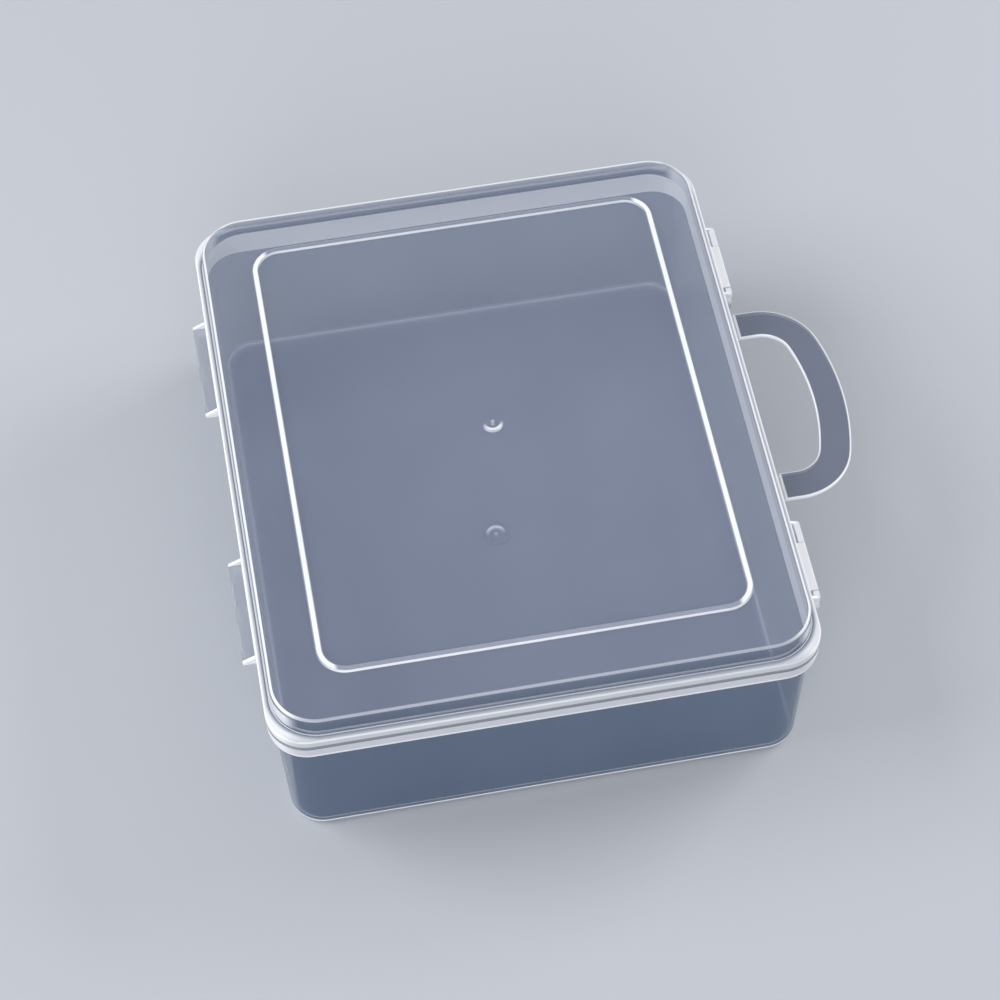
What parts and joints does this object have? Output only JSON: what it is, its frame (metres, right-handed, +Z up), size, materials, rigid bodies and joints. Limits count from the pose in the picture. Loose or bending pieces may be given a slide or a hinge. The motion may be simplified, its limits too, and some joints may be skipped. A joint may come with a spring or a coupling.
{
  "type": "bead storage box",
  "caption": "Rectangular translucent plastic storage box with a tapered tray, a hinged lid with a raised stacking bead, clip-on latch flaps and a folding D-shaped carrying handle.",
  "frame": {"origin": "centre of the tray's underside, on the plane the box stands on", "axes": "+Z up through the lid; +Y along the long side, towards the latch named far; +X from the hinge side to the side with the latches and the handle"},
  "size_m": [0.2496, 0.2464, 0.0809],
  "materials": {
    "tray_plastic": "natural polypropylene, translucent, satin gloss",
    "lid_plastic": "natural polypropylene, translucent, satin gloss",
    "latch_plastic": "natural polypropylene, translucent, satin gloss",
    "handle_plastic": "natural polypropylene, translucent, satin gloss"
  },
  "bodies": {
    "tray": {"base_tray": "tray_plastic"},
    "lid": {"lid": "lid_plastic"},
    "latch_far": {"latch_far": "latch_plastic"},
    "latch_near": {"latch_near": "latch_plastic"},
    "handle": {"carry_handle": "handle_plastic"}
  },
  "joints": [
    {"name": "lid_hinge", "type": "hinge", "parent": "tray", "child": "lid", "pos_m": [-0.1066, 0, 0.0604], "axis": [0, -1, 0], "range_deg": [0, 110]},
    {"name": "latch_far_hinge", "type": "hinge", "parent": "lid", "child": "latch_far", "pos_m": [0.1073, 0.07435, 0.062], "axis": [0, -1, 0], "range_deg": [0, 110]},
    {"name": "latch_near_hinge", "type": "hinge", "parent": "lid", "child": "latch_near", "pos_m": [0.1073, -0.07435, 0.062], "axis": [0, -1, 0], "range_deg": [0, 110]},
    {"name": "handle_hinge", "type": "hinge", "parent": "tray", "child": "handle", "pos_m": [0.1059, 0, 0.06195], "axis": [0, -1, 0], "range_deg": [-90, 75], "stiffness_Nm_per_rad": 0.02}
  ]
}
